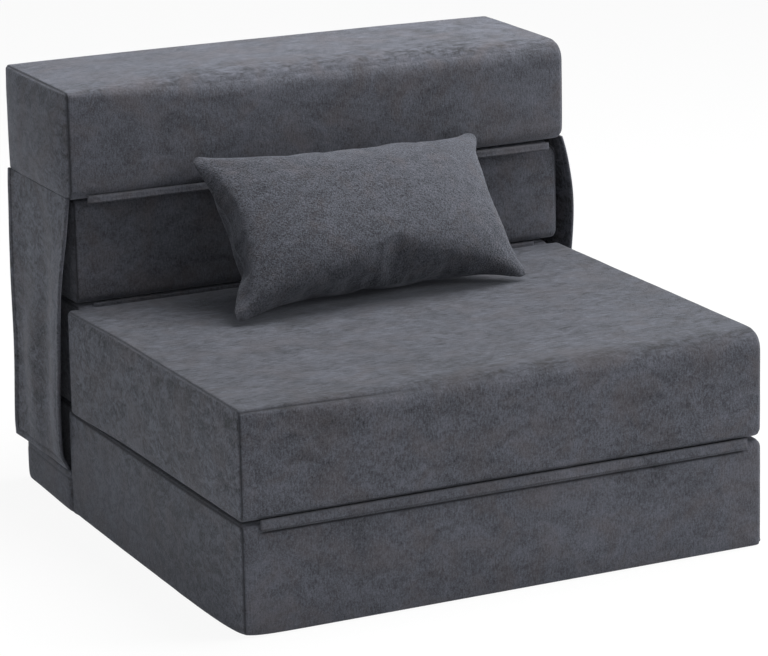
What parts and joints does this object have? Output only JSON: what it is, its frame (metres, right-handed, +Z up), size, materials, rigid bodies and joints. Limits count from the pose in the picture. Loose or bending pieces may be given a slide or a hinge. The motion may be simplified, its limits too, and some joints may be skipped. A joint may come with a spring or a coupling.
{
  "type": "convertible chair bed",
  "caption": "Armless foam chair of stacked covered blocks with hanging side flaps and a loose pillow; the seat flips forward and the back unfolds to the rear to make a low single bed.",
  "frame": {"origin": "centre of the bounding box's underside, on the floor, with the chair closed", "axes": "+Z up, -Y towards the front of the seat, +X to the sitter's left"},
  "size_m": [0.7828, 0.799, 0.6],
  "materials": {
    "brushed_cloth": "dark slate brushed velour with a soft nap",
    "foam": "open-cell upholstery foam, cut faces",
    "filling": "white polyester fibre filling in a thin liner",
    "strip_cloth": "dark slate woven hinge cloth",
    "zip_tape": "black woven tape with a nylon coil",
    "zip_metal": "black painted die-cast metal",
    "hook_and_loop": "black hook and loop tape",
    "grip": "charcoal non-slip dotted cloth"
  },
  "bodies": {
    "base": {"base_cover": "brushed_cloth", "base_foam": "foam", "base_zip": "zip_tape", "rear_base_cover": "brushed_cloth", "rear_base_foam": "foam", "rear_base_zip": "zip_tape", "rear_pocket": "brushed_cloth", "grip_sheet": "grip", "front_hinge_strip": "strip_cloth", "rear_hinge_strip": "strip_cloth"},
    "seat": {"seat_cover": "brushed_cloth", "seat_foam": "foam", "seat_zip": "zip_tape"},
    "middle": {"middle_cover": "brushed_cloth", "middle_foam": "foam", "middle_zip": "zip_tape", "middle_hinge_strip": "strip_cloth"},
    "lower_back": {"lower_back_cover": "brushed_cloth", "lower_back_foam": "foam", "lower_back_zip": "zip_tape", "top_hinge_strip": "strip_cloth"},
    "upper_back": {"upper_back_cover": "brushed_cloth", "upper_back_foam": "foam", "upper_back_zip": "zip_tape", "front_cover_strip": "strip_cloth", "loop_tape_left": "hook_and_loop", "loop_tape_right": "hook_and_loop"},
    "flap_left": {"side_flap_left": "brushed_cloth", "flap_hem_left": "brushed_cloth", "hook_tape_left": "hook_and_loop"},
    "flap_right": {"side_flap_right": "brushed_cloth", "flap_hem_right": "brushed_cloth", "hook_tape_right": "hook_and_loop"},
    "pillow": {"pillow_cover": "brushed_cloth", "pillow_filling": "filling"},
    "base_slider": {"base_zip_slider": "zip_metal"},
    "rear_base_slider": {"rear_base_zip_slider": "zip_metal"},
    "seat_slider": {"seat_zip_slider": "zip_metal"},
    "middle_slider": {"middle_zip_slider": "zip_metal"},
    "lower_back_slider": {"lower_back_zip_slider": "zip_metal"},
    "upper_back_slider": {"upper_back_zip_slider": "zip_metal"}
  },
  "joints": [
    {"name": "seat_fold", "type": "hinge", "parent": "base", "child": "seat", "pos_m": [0, -0.4025, 0.1499], "axis": [1, 0, 0], "range_deg": [0, 180]},
    {"name": "middle_fold", "type": "hinge", "parent": "base", "child": "middle", "pos_m": [0, 0.3835, 0.1499], "axis": [-1, 0, 0], "range_deg": [0, 180]},
    {"name": "lower_back_fold", "type": "hinge", "parent": "middle", "child": "lower_back", "pos_m": [0, 0.1645, 0.3], "axis": [1, 0, 0], "range_deg": [0, 180]},
    {"name": "upper_back_fold", "type": "hinge", "parent": "lower_back", "child": "upper_back", "pos_m": [0, 0.3835, 0.4501], "axis": [-1, 0, 0], "range_deg": [0, 180]},
    {"name": "left_flap_drop", "type": "hinge", "parent": "base", "child": "flap_left", "pos_m": [-0.3795, 0, 0.06], "axis": [0, -1, 0], "range_deg": [0, 97]},
    {"name": "right_flap_drop", "type": "hinge", "parent": "base", "child": "flap_right", "pos_m": [0.3795, 0, 0.06], "axis": [0, 1, 0], "range_deg": [0, 97]},
    {"name": "pillow_lift", "type": "slide", "parent": "seat", "child": "pillow", "axis": [0, -0.7071, 0.7071], "range_m": [0, 0.4]},
    {"name": "base_zip_slide", "type": "slide", "parent": "base", "child": "base_slider", "axis": [-1, 0, 0], "range_m": [0, 0.498]},
    {"name": "rear_base_zip_slide", "type": "slide", "parent": "base", "child": "rear_base_slider", "axis": [-1, 0, 0], "range_m": [0, 0.498]},
    {"name": "seat_zip_slide", "type": "slide", "parent": "seat", "child": "seat_slider", "axis": [-1, 0, 0], "range_m": [0, 0.498]},
    {"name": "middle_zip_slide", "type": "slide", "parent": "middle", "child": "middle_slider", "axis": [-1, 0, 0], "range_m": [0, 0.498]},
    {"name": "lower_back_zip_slide", "type": "slide", "parent": "lower_back", "child": "lower_back_slider", "axis": [-1, 0, 0], "range_m": [0, 0.498]},
    {"name": "upper_back_zip_slide", "type": "slide", "parent": "upper_back", "child": "upper_back_slider", "axis": [-1, 0, 0], "range_m": [0, 0.498]}
  ],
  "couplings": [
    {"joint": "lower_back_fold", "follows": "middle_fold", "ratio": 1}
  ]
}
